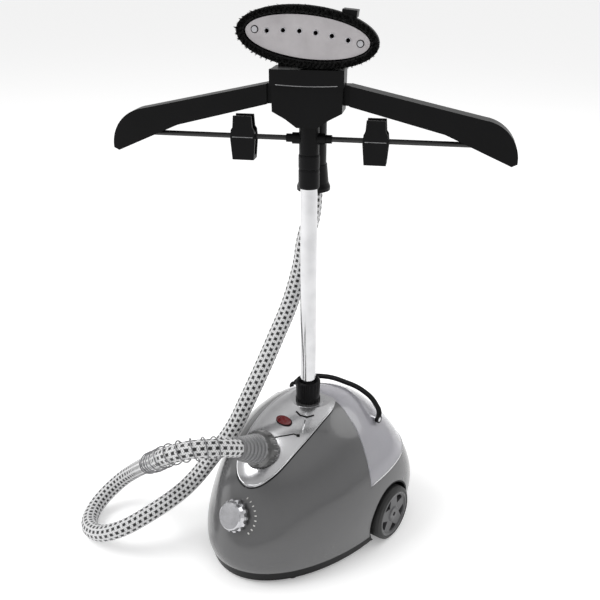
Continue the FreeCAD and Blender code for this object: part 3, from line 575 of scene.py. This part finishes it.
# A bright bead along the panel's edge, and the dark gap to the shell beside it.
edge = panel_edge()
edge_line = smoothed([spot for spot, _ in edge], closed=False)
strip("panel_bead", [p + DOWN * 0.0002 for p in edge_line], 0.0009, "chrome_panel")
beside = [p + way * 0.0011 for p, (_, way) in zip(edge_line, edge)]
gap_line = [hit(on_shell, Vector((p.x, p.y, 0.25)), DOWN) for p in beside]
strip("panel_gap", smoothed([p for p in gap_line if p is not None], closed=False), 0.0007, "black_plastic")

# Black oval seat of the lamp.
LAMP_HALF = (0.0113, 0.0063)
lamp_axis = Vector((0, -0.42, 0.91)).normalized()
lamp_place = Matrix.Translation((0, -0.033, 0.172)) @ lamp_axis.to_track_quat("Z", "Y").to_matrix().to_4x4()
lamp_ring = []
for k in range(48):
    angle = TAU * k / 48
    at = lamp_place @ Vector((LAMP_HALF[0] * math.cos(angle), LAMP_HALF[1] * math.sin(angle), 0.02))
    lamp_ring.append((hit(on_panel, at, -lamp_axis) or at) + lamp_axis * 0.0002)
strip("lamp_seat", smoothed(lamp_ring, 3), 0.0009, "black_plastic", closed=True)

# Moulded groove, catch and rib on the panel, and a painted reflection: a dark arc in front of the pole's ring
# standing for the black collar seen in the chrome.
for name, radius, slot, points in (
        ("panel_groove", 0.0009, "black_plastic",
         ((0.004, -0.0577, 0.1629), (0.0155, -0.0489, 0.166), (0.0228, -0.0421, 0.1676),
          (0.0287, -0.0412, 0.1666))),
        ("panel_catch", 0.0018, "black_plastic", ((0.0268, -0.042, 0.167), (0.03, -0.0398, 0.1672))),
        ("panel_rib", 0.0011, "chrome_panel",
         ((0.0305, -0.0352, 0.1683), (0.0265, -0.027, 0.1723), (0.0225, -0.019, 0.1757))),
        # painted reflection of the black collar in the chrome ring
        ("ring_painted_reflection", 0.0013, "black_plastic",
         ((0.0045, -0.0142, 0.1792), (0.0125, -0.0165, 0.1779), (0.0215, -0.014, 0.1773),
          (0.0265, -0.0062, 0.1782)))):
    strip(name, points, radius, slot)

# Raised lips round the steam holes and dark seats round the screws of the steam plate.
into_plate = (HEAD.to_3x3() @ Vector((0, 1, 0))).normalized()
plate_marks = [(across / 1000, 0.0054 - (across / 1000) ** 2 / 0.52, 0.0029, 0.00045, "steel")
               for across in (-43.75, -26.25, -8.75, 8.75, 26.25, 43.75)]
plate_marks += [(side * 0.057, 0.0008 - side * 0.001, 0.0037, 0.0005, "black_plastic") for side in (1, -1)]
for number, (u, w, radius, wire, slot) in enumerate(plate_marks, 1):
    ring = []
    for k in range(24):
        at = HEAD @ Vector((u + radius * math.cos(TAU * k / 24), -0.05, w + radius * math.sin(TAU * k / 24)))
        ring.append(hit(on_plate, at, into_plate))
    strip("plate_mark_%d" % number, [p for p in ring if p is not None], wire, slot, "handset", closed=True)

# Painted highlight: a light line across the hanger's hub and across each clip at the height of the rod, standing
# for the light on their front edge.
into_hanger = (HANGER.to_3x3() @ Vector((0, 1, 0))).normalized()


def front_painted_highlight(name, node, places, body):
    """A painted highlight: a light line on the front of a node through places, given as across and up on the
    hanger.
    """
    tree = tree_of(node)
    line = [hit(tree, HANGER @ Vector((u, -0.12, z)), into_hanger) for u, z in places]
    strip(name, smoothed([p for p in line if p is not None], 1, closed=False), 0.0004, "grey_rubber", body)


# painted highlights on the hub and on both clips
front_painted_highlight("hub_painted_highlight", "hanger_hub", [(0.0034 * k, 0.5835 + 0.000012 * k * k) for k in range(-10, 11)],
           "hanger")
for title, middle in (("left", -0.0756), ("right", 0.0756)):
    front_painted_highlight(title + "_clip_painted_highlight", title + "_clip_front",
               [(middle + 0.0012 * k, 0.523) for k in range(-10, 11)], title + "_jaw")

# Printed ticks beside the dial, each a little wider than the one before.
TICKS, TICK_FIRST, TICK_STEP = 9, 72, 13
TICK_REACH, TICK_TALL = 0.0265, 0.0013


def tick_mesh():
    """Thin plates laid on the shell round the dial."""
    made = bmesh.new()
    across = Vector((1, 0, 0))
    up = DIAL_AXIS.cross(across)
    for k in range(TICKS):
        angle = math.radians(TICK_FIRST - TICK_STEP * k)
        radial = across * math.cos(angle) + up * math.sin(angle)
        tangent = DIAL_AXIS.cross(radial)
        wide = 0.0004 + 0.00006 * k
        corners = []
        for u, v in ((-wide, -TICK_TALL), (wide, -TICK_TALL), (wide, TICK_TALL), (-wide, TICK_TALL)):
            start = DIAL_FOOT + radial * (TICK_REACH + v) + tangent * u + DIAL_AXIS * 0.05
            corners.append(hit(on_shell, start, -DIAL_AXIS) or start)
        low = [made.verts.new(c - DIAL_AXIS * 0.0002) for c in corners]
        high = [made.verts.new(c + DIAL_AXIS * 0.00012) for c in corners]
        made.faces.new(high)
        made.faces.new(list(reversed(low)))
        for q in range(4):
            made.faces.new((low[q], low[(q + 1) % 4], high[(q + 1) % 4], high[q]))
    return mesh_of(made, "dial_ticks")


piece("dial_ticks", tick_mesh(), "white_plastic", "root", smooth=False)

# Painted highlight: the bright edge of the tank, down its front and round its foot.
TANK_FRONT = [(0.009, 0.095), (0.020, 0.135), (0.031, 0.168)]


def tank_front_y(z):
    """How far back the tank's front face stands at height z."""
    for (y0, z0), (y1, z1) in zip(TANK_FRONT, TANK_FRONT[1:]):
        if z <= z1:
            return y0 + (y1 - y0) * (z - z0) / (z1 - z0)
    return TANK_FRONT[-1][0]


def tank_foot(count=91):
    """Points just above the tank's foot, which rises towards its back, from one side round to the other."""
    out = []
    for k in range(count):
        angle = math.radians(-115 + 230 * k / (count - 1))
        way = Vector((math.sin(angle), math.cos(angle), 0))
        z = 0.1
        for _ in range(4):
            found = hit(on_tank, Vector((0, 0.05, z)) + way * 0.3, -way)
            if found is None:
                break
            z = 0.0962 + (found.y - 0.009) * 9 / 181
        if found is not None and found.y > 0.0105:
            out.append(found)
    return out


# painted highlight down each side of the tank's front
for side, title in ((1, "right"), (-1, "left")):
    heights = [0.0956 + 0.068 * k / 29 for k in range(30)]
    front = [hit(on_tank, Vector((side * 0.2, tank_front_y(z) + 0.0012, z)), Vector((-side, 0, 0)))
             for z in heights]
    strip("tank_front_painted_highlight_" + title, smoothed([p for p in front if p is not None], 1, closed=False), 0.0007,
          "tank_clear", "tank")
# painted highlight: a chrome bead standing for the bright edge of the clear tank's foot
strip("tank_foot_painted_highlight", smoothed(tank_foot(), 1, closed=False), 0.0008, "chrome_panel", "tank")

# ---------------------------------------------------------------- rounded edges on the moulded parts
for name, width in (("hanger_hub", 0.0011), ("left_arm", 0.0022), ("right_arm", 0.0022),
                    ("left_clip_front", 0.0006), ("right_clip_front", 0.0006), ("left_clip_back", 0.0006),
                    ("right_clip_back", 0.0006), ("brush_latch", 0.0008)):
    rounding = nodes[name].modifiers.new("rounding", "BEVEL")
    rounding.width, rounding.segments = width, 3
    rounding.limit_method, rounding.angle_limit = "ANGLE", math.radians(35)
    rounding.harden_normals = False

# ---------------------------------------------------------------- floor
floor_mesh = bpy.data.meshes.new("floor")
floor_mesh.from_pydata([(-20, -20, 0), (20, -20, 0), (20, 20, 0), (-20, 20, 0)], [], [(0, 1, 2, 3)])
floor = bpy.data.objects.new("floor", floor_mesh)
bpy.context.scene.collection.objects.link(floor)
paper = bpy.data.materials.new("paper")
paper.use_nodes = True
paper_shader = paper.node_tree.nodes["Principled BSDF"]
paper_shader.inputs["Base Color"].default_value = (0.93, 0.93, 0.93, 1)
paper_shader.inputs["Roughness"].default_value = 0.9
paper_shader.inputs["Specular IOR Level"].default_value = 0
paper_shader.inputs["Emission Color"].default_value = (1, 1, 1, 1)
paper_shader.inputs["Emission Strength"].default_value = 0.24
floor_mesh.materials.append(paper)
